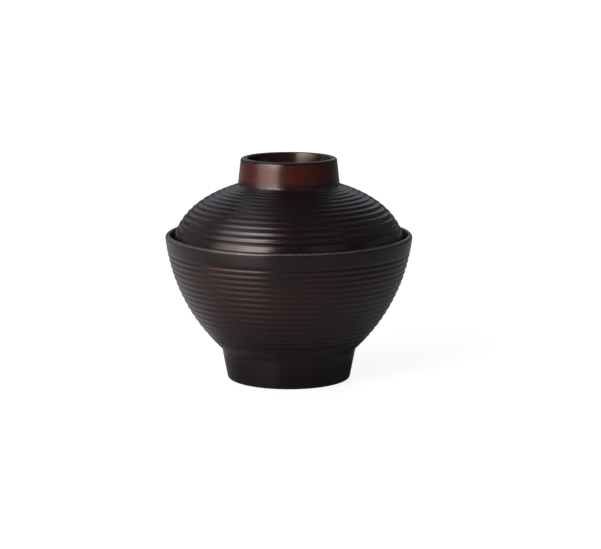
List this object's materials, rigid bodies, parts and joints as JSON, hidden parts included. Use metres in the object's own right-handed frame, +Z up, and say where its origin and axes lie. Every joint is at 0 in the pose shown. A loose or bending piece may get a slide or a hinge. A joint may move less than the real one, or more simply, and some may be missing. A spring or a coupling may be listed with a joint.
{
  "type": "lidded soup bowl",
  "caption": "Round turned-wood soup bowl with fine turned ribs and a flared ring foot, closed by a domed ribbed lid that lifts off by a ring-shaped knob.",
  "frame": {"origin": "centre of the foot ring's underside, on the surface that the bowl stands on", "axes": "+Z up along the turning axis, with the lid on top; X and Y are alike, because both pieces are round"},
  "size_m": [0.102, 0.102, 0.092],
  "materials": {
    "bowl_lacquer": "dark brown satin lacquer over turned wood",
    "lid_lacquer": "dark red-brown satin lacquer over turned wood"
  },
  "bodies": {
    "bowl": {"bowl": "bowl_lacquer"},
    "lid": {"lid": "lid_lacquer"}
  },
  "joints": [
    {"name": "lid_lift", "type": "slide", "parent": "bowl", "child": "lid", "axis": [0, 0, 1], "range_m": [0, 0.1]}
  ]
}
